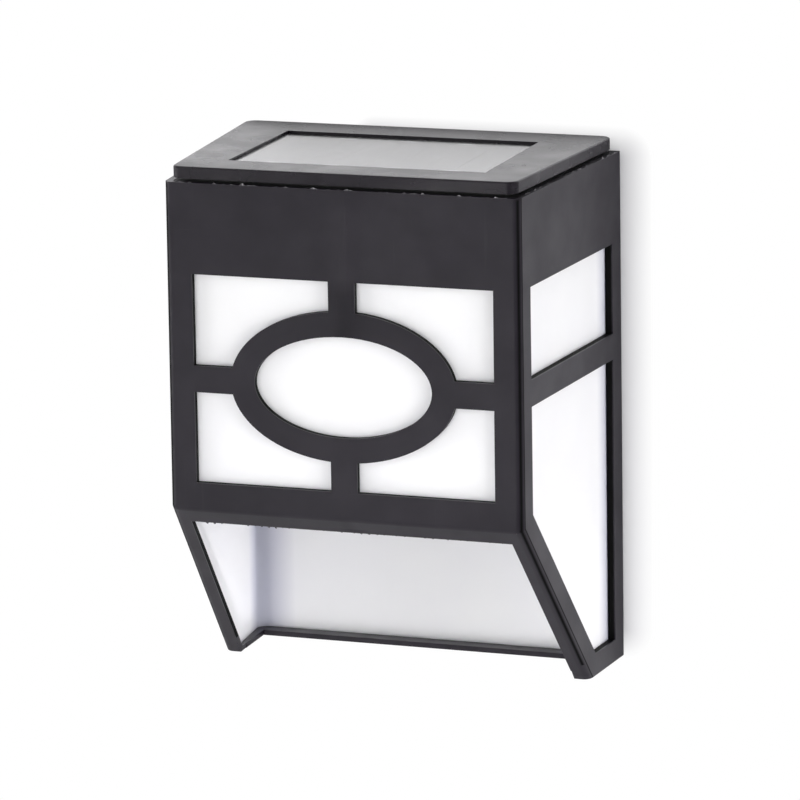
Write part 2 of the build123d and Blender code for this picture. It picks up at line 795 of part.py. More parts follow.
# ---------------------------------------------------------------------------------------------
# Leads: battery contacts to the board, over the bay's rib, and panel to the board
# ---------------------------------------------------------------------------------------------
tab_top = floor_z + tab_low + contact_thickness / 2
lead_run = tab_top + lead_radius
pad_top = floor_z + board_top
tab_right = plate_x + contact_tab / 2
tab_left = root_x - contact_tab / 2
tab_y = cell_centre_y - contact_width / 2 + lead_radius
panel_under = floor_z + backing_low
panel_level = floor_z + (pan_low + board_top) / 2
battery_pad_y = board_centre_y + battery_pad_behind
panel_pad_y = board_centre_y + panel_pad_behind
lead_routes = {
    "battery_lead_positive": (
        (tab_right, tab_y, lead_run),
        (battery_pad_x, battery_pad_y, lead_run),
        (battery_pad_x, battery_pad_y, pad_top),
    ),
    "battery_lead_negative": (
        (tab_left, tab_y, lead_run),
        (-battery_pad_x, battery_pad_y, lead_run),
        (-battery_pad_x, battery_pad_y, pad_top),
    ),
    "panel_lead_positive": (
        (panel_pad_x, panel_hole_y, panel_under),
        (panel_pad_x, panel_hole_y, panel_level),
        (panel_pad_x, panel_pad_y, panel_level),
        (panel_pad_x, panel_pad_y, pad_top),
    ),
    "panel_lead_negative": (
        (-panel_pad_x, panel_hole_y, panel_under),
        (-panel_pad_x, panel_hole_y, panel_level),
        (-panel_pad_x, panel_pad_y, panel_level),
        (-panel_pad_x, panel_pad_y, pad_top),
    ),
}
for name, points in lead_routes.items():
    with BuildPart() as lead:
        with BuildLine() as route:
            FilletPolyline(*points, radius=lead_bend)
        with BuildSketch(Plane(origin=route.line @ 0, z_dir=route.line % 0)):
            Circle(lead_radius)
        sweep(path=route.line)
    lead.part.label = name
    export_step(lead.part, "parts/" + name + ".step")
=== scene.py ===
import bpy
import numpy as np
from mathutils import Matrix, Vector


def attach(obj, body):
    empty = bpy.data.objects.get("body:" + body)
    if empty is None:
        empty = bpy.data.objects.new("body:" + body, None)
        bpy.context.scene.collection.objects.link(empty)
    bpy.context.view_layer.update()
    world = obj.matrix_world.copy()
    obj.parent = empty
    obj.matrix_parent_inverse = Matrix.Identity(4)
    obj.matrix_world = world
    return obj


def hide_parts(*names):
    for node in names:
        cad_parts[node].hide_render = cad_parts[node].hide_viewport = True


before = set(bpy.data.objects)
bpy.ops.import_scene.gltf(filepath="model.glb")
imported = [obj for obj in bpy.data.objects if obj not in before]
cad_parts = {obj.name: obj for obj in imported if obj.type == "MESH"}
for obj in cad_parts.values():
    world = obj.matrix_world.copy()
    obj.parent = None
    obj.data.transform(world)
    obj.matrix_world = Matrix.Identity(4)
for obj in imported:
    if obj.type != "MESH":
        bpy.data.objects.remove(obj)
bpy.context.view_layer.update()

mm = 0.001

# ---------------------------------------------------------------------------------------------
# Camera
# It stands to the right of the light and a little above it, far off with a long lens, as in the
# photograph, and leans by less than one degree.
# ---------------------------------------------------------------------------------------------
azimuth, pitch, roll = np.radians([19.089, 13.033, -0.834])
aim = np.array([-1.02, -25.0, -53.5]) * mm
camera_distance = 1413.4 * mm
sensor_width = 36.0
focal_pixels, frame_pixels = 5096.05, 800

forward = np.array([
    -np.sin(azimuth) * np.cos(pitch),
    np.cos(azimuth) * np.cos(pitch),
    -np.sin(pitch),
])
level = np.array([np.cos(azimuth), np.sin(azimuth), 0.0])
above = np.cross(level, forward)
right = np.cos(roll) * level + np.sin(roll) * above
above = np.cos(roll) * above - np.sin(roll) * level
standpoint = aim - forward * camera_distance

camera_data = bpy.data.cameras.new("camera")
camera_data.sensor_width = sensor_width
camera_data.lens = focal_pixels / frame_pixels * sensor_width
camera = bpy.data.objects.new("camera", camera_data)
bpy.context.scene.collection.objects.link(camera)
camera.matrix_world = Matrix((
    (right[0], above[0], -forward[0], standpoint[0]),
    (right[1], above[1], -forward[1], standpoint[1]),
    (right[2], above[2], -forward[2], standpoint[2]),
    (0, 0, 0, 1),
))
bpy.context.scene.camera = camera
bpy.context.scene.view_settings.view_transform = "Standard"


# ---------------------------------------------------------------------------------------------
# Studio: a white board right behind the light, a pale floor well below it, and soft light
# The board keeps the soft shadow beside the light and turns plain white away from it. It is
# clear from behind, so that the back of the light can be seen and lit.
# ---------------------------------------------------------------------------------------------
def node(tree, kind, inputs=None, **settings):
    """A shader node with its settings, and with its inputs set to values or joined to outputs."""
    made = tree.nodes.new("ShaderNode" + kind)
    for name, value in settings.items():
        setattr(made, name, value)
    for name, value in (inputs or {}).items():
        if isinstance(value, bpy.types.NodeSocket):
            tree.links.new(value, made.inputs[name])
        else:
            made.inputs[name].default_value = value
    return made


def maths(tree, operation, first, second=0.0, third=0.0):
    """The output of a Math node for two or three values or outputs."""
    return node(tree, "Math", {0: first, 1: second, 2: third}, operation=operation).outputs[0]


def vector(tree, operation, first, second=(0.0, 0.0, 0.0)):
    """The outputs of a Vector Math node: Vector, and Value for a length or a dot product."""
    return node(tree, "VectorMath", {0: first, 1: second}, operation=operation).outputs


def ramp(tree, value, low, high, start=0.0, end=1.0):
    """A value carried evenly from one range to another, and held at its ends."""
    inputs = {"Value": value, "From Min": low, "From Max": high, "To Min": start, "To Max": end}
    return node(tree, "MapRange", inputs).outputs["Result"]


def axis_of(tree, place, axis):
    """One of a point's three coordinates."""
    return node(tree, "SeparateXYZ", {0: place}).outputs[axis]


def blend(tree, share, first, second):
    """Two shaders mixed by a share."""
    return node(tree, "MixShader", {0: share, 1: first, 2: second}).outputs[0]


def outside_box(tree, place, centre, half_size):
    """The distance from a box, which is nothing inside it."""
    centred = vector(tree, "SUBTRACT", place, centre)["Vector"]
    size = vector(tree, "ABSOLUTE", centred)["Vector"]
    past_faces = vector(tree, "SUBTRACT", size, half_size)["Vector"]
    outside = vector(tree, "MAXIMUM", past_faces)["Vector"]
    return vector(tree, "LENGTH", outside)["Value"]


def pale_surface(name, tone, centre, half_size, fade, own_light, in_gloss):
    """White paint that shows shadows near the light and fades to plain white away from it. The
    distance is measured outwards from a box about the light, in the surface's own plane. The
    function in_gloss gives, for reflections only, how much light is added and what share is
    darkened."""
    mat = bpy.data.materials.new(name)
    mat.use_nodes = True
    tree = mat.node_tree
    tree.nodes.clear()
    rays = node(tree, "LightPath").outputs
    place = node(tree, "TexCoord").outputs["Object"]
    added, darkened = in_gloss(tree, place)

    seen = maths(tree, "MAXIMUM", rays["Is Camera Ray"], rays["Is Transmission Ray"])
    own = maths(tree, "MULTIPLY", seen, own_light)
    strength = maths(tree, "ADD", own, maths(tree, "MULTIPLY", added, rays["Is Glossy Ray"]))
    glow = node(tree, "Emission", {"Strength": strength}).outputs[0]
    paint = node(tree, "BsdfDiffuse", {"Color": tone}).outputs[0]
    lit_paint = node(tree, "AddShader", {0: paint, 1: glow}).outputs[0]
    dark = node(tree, "BsdfDiffuse", {"Color": (0.01, 0.01, 0.01, 1)}).outputs[0]
    darkness = maths(tree, "MULTIPLY", darkened, rays["Is Glossy Ray"])
    near_look = blend(tree, darkness, lit_paint, dark)

    far = ramp(tree, outside_box(tree, place, centre, half_size), 0.0, fade)
    white = node(tree, "Emission", {"Strength": 1.0}).outputs[0]
    front = blend(tree, maths(tree, "MULTIPLY", far, rays["Is Camera Ray"]), near_look, white)
    clear = node(tree, "BsdfTransparent").outputs[0]
    behind = node(tree, "NewGeometry").outputs["Backfacing"]
    node(tree, "OutputMaterial", {"Surface": blend(tree, behind, front, clear)})
    return mat


def board_in_gloss(tree, place):
    """Lighter above the cap; below it, darker close to the light's side and far to the right."""
    x, z = axis_of(tree, place, "X"), axis_of(tree, place, "Z")
    above_cap = ramp(tree, z, 17.5 * mm, 22 * mm)
    close_by = ramp(tree, x, 54 * mm, 74 * mm, 0.50, 0.0)
    away = ramp(tree, x, 80 * mm, 120 * mm, 0.0, 0.55)
    below_cap = maths(tree, "SUBTRACT", 1.0, above_cap)
    darkened = maths(tree, "MAXIMUM", maths(tree, "MULTIPLY", close_by, below_cap), away)
    return maths(tree, "MULTIPLY", above_cap, 0.52), darkened


def floor_in_gloss(tree, place):
    """Darker towards the right, where the rounded front corner looks."""
    return 0.0, ramp(tree, axis_of(tree, place, "X"), -60 * mm, 260 * mm, 0.0, 0.7)


def flat_stage(name, corners, faces, mat):
    """A flat surface of the studio, which isn't part of the light."""
    mesh = bpy.data.meshes.new(name)
    mesh.from_pydata(corners, [], faces)
    mesh.materials.append(mat)
    made = bpy.data.objects.new(name, mesh)
    bpy.context.scene.collection.objects.link(made)


board_y = 0.8 * mm
board_half = 0.75
ground = -0.215
floor_half = 2.5

# An opening behind the light lets the rear light reach its back
opening_half, opening_low, opening_high = 54.5 * mm, -128.5 * mm, 13.5 * mm
board_paint = pale_surface(
    "board_paint",
    tone=(0.64, 0.635, 0.655, 1),
    centre=(20 * mm, 0, -54.5 * mm),
    half_size=(35.5 * mm, 1, 67 * mm),
    fade=9 * mm,
    own_light=0.05,
    in_gloss=board_in_gloss,
)
flat_stage("backdrop", [
    (-board_half, board_y, ground),
    (board_half, board_y, ground),
    (board_half, board_y, board_half),
    (-board_half, board_y, board_half),
    (-opening_half, board_y, opening_low),
    (opening_half, board_y, opening_low),
    (opening_half, board_y, opening_high),
    (-opening_half, board_y, opening_high),
], [(0, 1, 5, 4), (1, 2, 6, 5), (2, 3, 7, 6), (3, 0, 4, 7)], board_paint)

floor_paint = pale_surface(
    "floor_paint",
    tone=(0.8, 0.8, 0.8, 1),
    centre=(0, 0, 0),
    half_size=(80 * mm, 80 * mm, 1),
    fade=150 * mm,
    own_light=0.25,
    in_gloss=floor_in_gloss,
)
flat_stage("floor", [
    (-floor_half, -floor_half, ground),
    (floor_half, -floor_half, ground),
    (floor_half, floor_half, ground),
    (-floor_half, floor_half, ground),
], [(0, 1, 2, 3)], floor_paint)

# The room is plain white to look at. It lights with a soft glow from the front left and from
# the rear, and in reflections it darkens towards the right.
world = bpy.data.worlds.new("studio")
world.use_nodes = True
tree = world.node_tree
tree.nodes.clear()
rays = node(tree, "LightPath").outputs
direction = node(tree, "TexCoord").outputs["Generated"]
to_front_left = vector(tree, "DOT_PRODUCT", direction, (-0.45, -0.75, 0.48))["Value"]
to_rear = vector(tree, "DOT_PRODUCT", direction, (0.35, 0.86, 0.37))["Value"]
to_right = axis_of(tree, direction, "X")
front_glow = ramp(tree, to_front_left, -0.35, 0.95, 0.0, 0.13)
rear_glow = ramp(tree, to_rear, 0.1, 0.95, 0.0, 0.50)
studio_light = maths(tree, "ADD", maths(tree, "ADD", front_glow, rear_glow), 0.25)
darker = ramp(tree, to_right, -0.10, 0.40, 0.0, 0.50)
darker = maths(tree, "MULTIPLY", darker, rays["Is Glossy Ray"])
studio_light = maths(tree, "MULTIPLY", studio_light, maths(tree, "SUBTRACT", 1.0, darker))
plain = maths(tree, "MAXIMUM", rays["Is Camera Ray"], rays["Is Transmission Ray"])
kept = maths(tree, "MULTIPLY", studio_light, maths(tree, "SUBTRACT", 1.0, plain))
background = node(tree, "Background", {
    "Color": (1, 1, 1, 1),
    "Strength": maths(tree, "ADD", kept, plain),
})
node(tree, "OutputWorld", {"Surface": background.outputs[0]})
bpy.context.scene.world = world


def soft_box(name, place, target, width, power, mirrored=True):
    """A square area lamp at a place, turned to a target, which may be left out of reflections."""
    lamp = bpy.data.lights.new(name, "AREA")
    lamp.size = width
    lamp.energy = power
    made = bpy.data.objects.new(name, lamp)
    bpy.context.scene.collection.objects.link(made)
    made.visible_glossy = mirrored
    made.visible_camera = False
    backwards = Vector(place) - Vector(target)
    turned = backwards.to_track_quat("Z", "Y").to_matrix().to_4x4()
    made.matrix_world = Matrix.Translation(place) @ turned


soft_box("key", (-0.28, -1.05, 0.42), (0, -0.03, -0.05), 0.55, 0.5)
soft_box("side", (1.1, -0.55, 0.10), (0, -0.03, -0.05), 0.6, 8.8, mirrored=False)
soft_box("left", (-1.1, -0.40, -0.05), (0, -0.03, -0.08), 0.6, 10.5, mirrored=False)
soft_box("low", (-0.10, -1.00, -0.16), (0, -0.02, -0.10), 0.4, 4.4, mirrored=False)
soft_box("under", (0.05, -0.12, -0.18), (0.01, -0.01, -0.10), 0.07, 0.046, mirrored=False)
soft_box("rear_fill", (0.5, 1.2, 0.5), (0, 0, -0.05), 0.7, 3.5)


# ---------------------------------------------------------------------------------------------
# Housing
# One injection moulding in satin black ABS, hung on the wall by two keyholes in its back. The
# mould leaves a faint grain and a shallow sink down the front, and hands leave light scuffs.
# ---------------------------------------------------------------------------------------------
def mixed(tree, share, first, second):
    """Two colours, or colour outputs, mixed by a share."""
    return node(tree, "Mix", {0: share, 6: first, 7: second}, data_type="RGBA").outputs[2]


def stretched(tree, place, scale):
    """Coordinates multiplied along each axis, which stretches a pattern the other way."""
    return vector(tree, "MULTIPLY", place, scale)["Vector"]


def noise(tree, place, scale, detail=2.0):
    """Cloudy noise from 0 to 1 with so many cells to the metre."""
    inputs = {"Vector": place, "Scale": scale, "Detail": detail}
    return node(tree, "TexNoise", inputs).outputs["Fac"]


def raised(tree, height, depth, below=None):
    """Surface relief: a height from 0 to 1 times a depth in metres, on top of other relief."""
    inputs = {"Height": height, "Distance": depth}
    if below is not None:
        inputs["Normal"] = below
    return node(tree, "Bump", inputs).outputs["Normal"]


def surface(name):
    """A new material: its node tree, its shader and the piece's own coordinates."""
    mat = bpy.data.materials.new(name)
    mat.use_nodes = True
    tree = mat.node_tree
    place = node(tree, "TexCoord").outputs["Object"]
    return mat, tree, tree.nodes["Principled BSDF"], place


def fit(tree, shader, colour=None, roughness=None, normal=None):
    """Joins what the nodes work out to the shader."""
    for socket, output in (("Base Color", colour), ("Roughness", roughness), ("Normal", normal)):
        if output is not None:
            tree.links.new(output, shader.inputs[socket])


def moulded_plastic(name, dark, light, gloss, grain_depth, wave_depth, scuffs=0.5):
    """Moulded plastic: two close tones in soft clouds, a fine grain, long low waves from the
    mould, and sparse hair scuffs that are lighter and duller. The scuffs are stretched noise
    above a threshold, across two directions."""
    mat, tree, shader, place = surface(name)
    clouds = maths(tree, "ADD", noise(tree, place, 30.0, 3.0), noise(tree, place, 140.0, 2.0))
    tone = mixed(tree, ramp(tree, clouds, 0.75, 1.25), (*dark, 1), (*light, 1))
    along = noise(tree, stretched(tree, place, (700.0, 700.0, 30.0)), 1.0, 2.0)
    across = noise(tree, stretched(tree, place, (45.0, 500.0, 900.0)), 1.0, 2.0)
    marks = maths(tree, "MAXIMUM", ramp(tree, along, 0.70, 0.80), ramp(tree, across, 0.72, 0.82))
    worn = ramp(tree, noise(tree, place, 55.0), 0.42, 0.62)
    marks = maths(tree, "MULTIPLY", maths(tree, "MULTIPLY", marks, worn), scuffs)
    pale = tuple(0.5 * v + 0.035 for v in light)
    colour = mixed(tree, marks, tone, (*pale, 1))
    patches = ramp(tree, noise(tree, place, 85.0), 0.3, 0.7, gloss - 0.04, gloss + 0.05)
    roughness = maths(tree, "ADD", patches, maths(tree, "MULTIPLY", marks, 0.18))
    grain = raised(tree, noise(tree, place, 1400.0, 3.0), grain_depth)
    waves = raised(tree, noise(tree, place, 24.0, 1.0), wave_depth, grain)
    fit(tree, shader, colour, roughness, waves)
    return mat, tree, shader, place, waves


def dress(name, mat):
    """Gives a carried-over part its material."""
    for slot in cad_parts[name].material_slots:
        slot.material = mat


def hollow(tree, place, axis, centre, width):
    """A smooth hump of height 1 across one axis: one over one plus the square of the distance
    over the width, squared."""
    away = maths(tree, "SUBTRACT", axis_of(tree, place, axis), centre)
    away = maths(tree, "DIVIDE", away, width)
    square = maths(tree, "ADD", maths(tree, "MULTIPLY", away, away), 1.0)
    return maths(tree, "DIVIDE", 1.0, maths(tree, "MULTIPLY", square, square))


def least(tree, first, *others):
    """The least of several values."""
    for other in others:
        first = maths(tree, "MINIMUM", first, other)
    return first


# The outer skin: half widths at the front and the back, how far the foot flares out, the depth,
# the top, and the slope from the bend to the foot
front_half, back_half, foot_flare = 50 * mm, 55.4 * mm, 0.5 * mm
depth, housing_top = 74.8 * mm, 14.8 * mm
bend_z, foot_z, foot_y = -75.6 * mm, -129.5 * mm, -26.25 * mm
foot_bar = 5 * mm
widening = (back_half - front_half) / depth
drop, run = bend_z - foot_z, foot_y + depth
slope_length = np.hypot(drop, run)

housing_black, tree, shader, place, waves = moulded_plastic(
    "housing_black", (0.0070, 0.0050, 0.0096), (0.0118, 0.0092, 0.0148), 0.34, 0.012 * mm, 1.2 * mm
)
x, y, z = (axis_of(tree, place, axis) for axis in "XYZ")
at_front = ramp(tree, y, -72 * mm, -71 * mm, 1.0, 0.0)
sink = maths(tree, "MULTIPLY", hollow(tree, place, "X", 1.5 * mm, 3.4 * mm), at_front)
fit(tree, shader, normal=raised(tree, maths(tree, "SUBTRACT", 1.0, sink), 0.24 * mm, waves))

# The sides of the openings are dull from the mould, and painted darker and less reflective than
# the outer skin, as painted shade. The depth below the skin is the least distance to the front,
# the sides, the slope, the top and the back, and the bar along the foot counts as skin.
from_front = maths(tree, "ADD", y, depth)
half_width = maths(tree, "MULTIPLY_ADD", from_front, widening, front_half)
half_width = maths(tree, "ADD", half_width, ramp(tree, z, housing_top, foot_z, 0.0, foot_flare))
from_side = maths(tree, "SUBTRACT", half_width, maths(tree, "ABSOLUTE", x))
from_bend = maths(tree, "MULTIPLY", maths(tree, "SUBTRACT", z, bend_z), float(run / slope_length))
from_slope = maths(tree, "MULTIPLY_ADD", from_front, float(drop / slope_length), from_bend)
from_top = maths(tree, "SUBTRACT", housing_top, z)
from_back = maths(tree, "MULTIPLY", y, -1.0)
above_bar = maths(tree, "SUBTRACT", z, foot_z + foot_bar)
below_skin = least(tree, from_front, from_side, from_slope, from_top, from_back, above_bar)
inside = ramp(tree, below_skin, 0.2 * mm, 0.5 * mm)

# A fine line down both front corners and the sloping edges is darker, less reflective and duller
off_line = maths(tree, "SUBTRACT", least(tree, from_front, from_slope), 1.75 * mm)
off_line = maths(tree, "ABSOLUTE", off_line)
at_skin = ramp(tree, from_side, 0.4 * mm, 0.6 * mm, 1.0, 0.0)
corner_line = maths(tree, "MULTIPLY", ramp(tree, off_line, 0.12 * mm, 0.30 * mm, 0.8, 0.0), at_skin)

# A band down the upright bar above the oval is painted darker and less reflective, as painted
# shade, and made duller
bar_shade = maths(tree, "MULTIPLY", hollow(tree, place, "X", 0.8 * mm, 6.0 * mm), at_front)
bar_shade = maths(tree, "MULTIPLY", bar_shade, ramp(tree, z, -14 * mm, -9 * mm, 0.30, 0.0))
bar_shade = maths(tree, "MULTIPLY", bar_shade, ramp(tree, z, -34 * mm, -28 * mm))

# Rougher, with colour and reflection painted darker: painted shade in the openings and on the bar
dull_and_shaded = maths(tree, "MAXIMUM", maths(tree, "MAXIMUM", inside, corner_line), bar_shade)
outer_colour = shader.inputs["Base Color"].links[0].from_socket
outer_roughness = shader.inputs["Roughness"].links[0].from_socket
fit(
    tree,
    shader,
    mixed(tree, dull_and_shaded, outer_colour, (0.004, 0.004, 0.004, 1)),
    maths(tree, "MULTIPLY_ADD", dull_and_shaded, 0.25, outer_roughness),
)
tree.links.new(ramp(tree, dull_and_shaded, 0.0, 1.0, 0.5, 0.06), shader.inputs["Specular IOR Level"])
dress("housing", housing_black)

# ---------------------------------------------------------------------------------------------
# Diffuser liner
# A thin sleeve of milky polypropylene pushed into the housing. It lets light through, so its
# walls glow where a window stands behind them. Its rear corners are painted darker, partly for
# the black housing behind them and partly as painted shade.
# ---------------------------------------------------------------------------------------------
liner_white, tree, shader, place = surface("liner_white")
milk = ramp(tree, noise(tree, place, 40.0, 3.0), 0.3, 0.7)
milky = mixed(tree, milk, (0.885, 0.88, 0.935, 1), (0.91, 0.905, 0.95, 1))
# Painted shade: towards the rear corners the colour turns grey-blue, also for the housing behind
outwards = ramp(tree, maths(tree, "ABSOLUTE", axis_of(tree, place, "X")), 41 * mm, 53 * mm)
rearwards = ramp(tree, axis_of(tree, place, "Y"), -13 * mm, -3 * mm)
corner = maths(tree, "MULTIPLY", outwards, rearwards)
fit(
    tree,
    shader,
    mixed(tree, corner, milky, (0.36, 0.37, 0.46, 1)),
    ramp(tree, noise(tree, place, 120.0), 0.3, 0.7, 0.42, 0.52),
    raised(tree, noise(tree, place, 900.0, 3.0), 0.010 * mm),
)
shader.inputs["Subsurface Weight"].default_value = 1.0
shader.inputs["Subsurface Radius"].default_value = (1.0, 1.0, 1.0)
shader.inputs["Subsurface Scale"].default_value = 2.8 * mm
dress("diffuser_liner", liner_white)

# ---------------------------------------------------------------------------------------------
# Top cap
# A lid in glossier black ABS, screwed to the tray from below. Its border is slightly dished
# around the panel, so the sheen brightens towards the front and right edges.
# ---------------------------------------------------------------------------------------------
cap_black, tree, shader, place, waves = moulded_plastic(
    "cap_black", (0.0075, 0.0056, 0.0092), (0.0118, 0.0092, 0.0138), 0.26, 0.006 * mm, 2.2 * mm
)
front_lip = hollow(tree, place, "Y", -74.5 * mm, 3.5 * mm)
side_lip = hollow(tree, place, "X", 54 * mm, 5.0 * mm)
dished = maths(tree, "SUBTRACT", 1.0, maths(tree, "MAXIMUM", front_lip, side_lip))
fit(tree, shader, normal=raised(tree, dished, 0.12 * mm, waves))
dress("top_cap", cap_black)

# ---------------------------------------------------------------------------------------------
# Solar panel: sealant, backing board, cells and clear resin
# Eight strips of dark blue silicon on a black board, cast in a hazy layer of epoxy resin and
# stuck into the cap with white sealant.
# ---------------------------------------------------------------------------------------------
sealant_white, tree, shader, place = surface("sealant_white")
fit(
    tree,
    shader,
    mixed(tree, noise(tree, place, 150.0), (0.72, 0.72, 0.70, 1), (0.82, 0.82, 0.80, 1)),
    ramp(tree, noise(tree, place, 300.0), 0.3, 0.7, 0.4, 0.6),
    raised(tree, noise(tree, place, 400.0, 3.0), 0.05 * mm),
)
dress("panel_sealant", sealant_white)

backing_black, tree, shader, place = surface("backing_black")
weave = node(tree, "TexChecker", {"Vector": place, "Scale": 1800.0}).outputs["Fac"]
fit(
    tree,
    shader,
    mixed(tree, noise(tree, place, 90.0), (0.010, 0.011, 0.014, 1), (0.018, 0.019, 0.024, 1)),
    ramp(tree, noise(tree, place, 200.0), 0.3, 0.7, 0.35, 0.5),
    raised(tree, weave, 0.01 * mm),
)
dress("panel_backing", backing_black)

# Each grain of silicon has its own shade, and fine silver fingers cross every strip
cell_silicon, tree, shader, place = surface("cell_silicon")
flat_place = stretched(tree, place, (1, 1, 0))
crystal = node(tree, "TexVoronoi", {"Vector": flat_place, "Scale": 260.0}).outputs["Color"]
shade = node(tree, "SeparateColor", {0: crystal}).outputs[0]
blue = mixed(tree, shade, (0.012, 0.018, 0.050, 1), (0.026, 0.036, 0.088, 1))
beat = maths(tree, "PINGPONG", axis_of(tree, place, "Y"), 1.2 * mm)
finger = ramp(tree, beat, 0.05 * mm, 0.15 * mm, 1.0, 0.0)
fit(
    tree,
    shader,
    mixed(tree, finger, blue, (0.16, 0.17, 0.19, 1)),
    ramp(tree, shade, 0, 1, 0.18, 0.30),
)
shader.inputs["Metallic"].default_value = 0.35
dress("solar_cells", cell_silicon)

# Light passes straight through the resin to the cells, so they aren't in its shadow
resin_clear, tree, shader, place = surface("resin_clear")
haze = noise(tree, place, 60.0, 3.0)
hair = noise(tree, stretched(tree, place, (900.0, 60.0, 60.0)), 1.0, 2.0)
rubbed = ramp(tree, hair, 0.68, 0.8, 0.0, 0.12)
fit(
    tree,
    shader,
    mixed(tree, haze, (0.74, 0.75, 0.78, 1), (0.80, 0.80, 0.82, 1)),
    maths(tree, "ADD", ramp(tree, haze, 0.3, 0.7, 0.16, 0.22), rubbed),
    raised(tree, haze, 0.05 * mm),
)
shader.inputs["IOR"].default_value = 1.55
shader.inputs["Transmission Weight"].default_value = 0.98
shader.inputs["Coat Weight"].default_value = 0.7
shader.inputs["Coat IOR"].default_value = 1.6
shader.inputs["Coat Roughness"].default_value = 0.16
rays = node(tree, "LightPath").outputs
through = node(tree, "BsdfTransparent", {"Color": (0.85, 0.86, 0.88, 1)}).outputs[0]
casting = blend(tree, rays["Is Shadow Ray"], shader.outputs[0], through)
tree.links.new(casting, tree.nodes["Material Output"].inputs["Surface"])
dress("panel_resin", resin_clear)

# ---------------------------------------------------------------------------------------------
# Tray and battery door
# Both are moulded in duller black ABS and hang out of sight under the cap. The door snaps into
# the tray's floor.
# ---------------------------------------------------------------------------------------------
# Their black is paler than the housing's: partly their own plastic, partly painted light to show
tray_black = moulded_plastic(
    "tray_black", (0.024, 0.024, 0.025), (0.036, 0.036, 0.037), 0.42, 0.02 * mm, 1.0 * mm, 0.3
)[0]
dress("module_tray", tray_black)
door_black = moulded_plastic(
    "door_black", (0.027, 0.027, 0.028), (0.040, 0.040, 0.041), 0.40, 0.02 * mm, 0.6 * mm, 0.6
)[0]
dress("battery_door", door_black)


# ---------------------------------------------------------------------------------------------
# Mould flash
# Where the two halves of the mould meet, a little plastic creeps out as a thin ragged fin. It
# stands on the rim under the cap, and hangs from the front's lower edge above the mouth.
# ---------------------------------------------------------------------------------------------
def skin(name, grids, mat, body, smooth=True):
    """One piece from several grids of points. Each grid is rows by columns by three, closed
    round its columns, and its first and last rows are closed by fans."""
    points, faces = [], []
    start = 0
    for grid in grids:
        rows, columns = grid.shape[:2]
        row, column = np.meshgrid(np.arange(rows - 1), np.arange(columns), indexing="ij")
        after = (column + 1) % columns
        quads = np.stack([
            row * columns + column,
            row * columns + after,
            (row + 1) * columns + after,
            (row + 1) * columns + column,
        ], axis=-1).reshape(-1, 4)
        ring = np.arange(columns)
        next_in_ring = (ring + 1) % columns
        last_row = (rows - 1) * columns
        first_centre, last_centre = rows * columns, rows * columns + 1
        first = np.stack([np.full(columns, first_centre), next_in_ring, ring], axis=-1)
        last = np.stack([
            np.full(columns, last_centre),
            last_row + ring,
            last_row + next_in_ring,
        ], axis=-1)
        centres = np.stack([grid[0].mean(axis=0), grid[-1].mean(axis=0)])
        points.append(np.concatenate([grid.reshape(-1, 3), centres]))
        faces += (quads + start).tolist() + (first + start).tolist() + (last + start).tolist()
        start += rows * columns + 2
    mesh = bpy.data.meshes.new(name)
    mesh.from_pydata(np.concatenate(points), [], faces)
    mesh.polygons.foreach_set("use_smooth", np.full(len(faces), smooth))
    mesh.update()
    mesh.materials.append(mat)
    made = bpy.data.objects.new(name, mesh)
    bpy.context.scene.collection.objects.link(made)
    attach(made, body)
    return made


fin_stations, fin_waves = 420, 14
fin_sunk, fin_thickness = 0.08 * mm, 0.14 * mm
fin_least, fin_end = 0.015 * mm, 0.005 * mm


def ragged_fin(start, end, outward, sideways, tallest, seed):
    """A thin wedge along a line. Its height is the tallest times the square of a sum of waves
    with random phases, cut off below zero, and its foot is sunk into the plastic."""
    rng = np.random.default_rng(seed)
    along = np.linspace(0.0, 1.0, fin_stations)[:, None]
    counts = rng.uniform(2, 60, fin_waves)
    phases = rng.uniform(0, 1, fin_waves)
    waves = np.sin(2 * np.pi * (counts * along + phases)).sum(axis=1) / 5
    height = tallest * np.clip(waves, 0, 1.3) ** 2 + fin_least
    height[[0, -1]] = fin_end
    line = np.array(start) + along * (np.array(end) - np.array(start))
    # Each station has four corners, two at the foot and two at the narrower top
    foot = np.full(fin_stations, -fin_sunk)
    out = np.stack([foot, foot, height, height], axis=1)
    side = np.array([0.5, -0.5, -0.18, 0.18]) * fin_thickness
    return (
        line[:, None, :]
        + out[:, :, None] * np.array(outward)
        + side[None, :, None] * np.array(sideways)
    )


# The fins' pale patches are partly whitened plastic and partly painted highlight on the burrs
whitened_and_highlit, tree, shader, place = surface("whitened_and_highlit")
torn = noise(tree, place, 2500.0, 3.0)
fit(
    tree,
    shader,
    mixed(tree, ramp(tree, torn, 0.4, 0.65), (0.020, 0.019, 0.021, 1), (0.30, 0.29, 0.31, 1)),
    ramp(tree, torn, 0.3, 0.7, 0.35, 0.60),
    raised(tree, torn, 0.02 * mm),
)

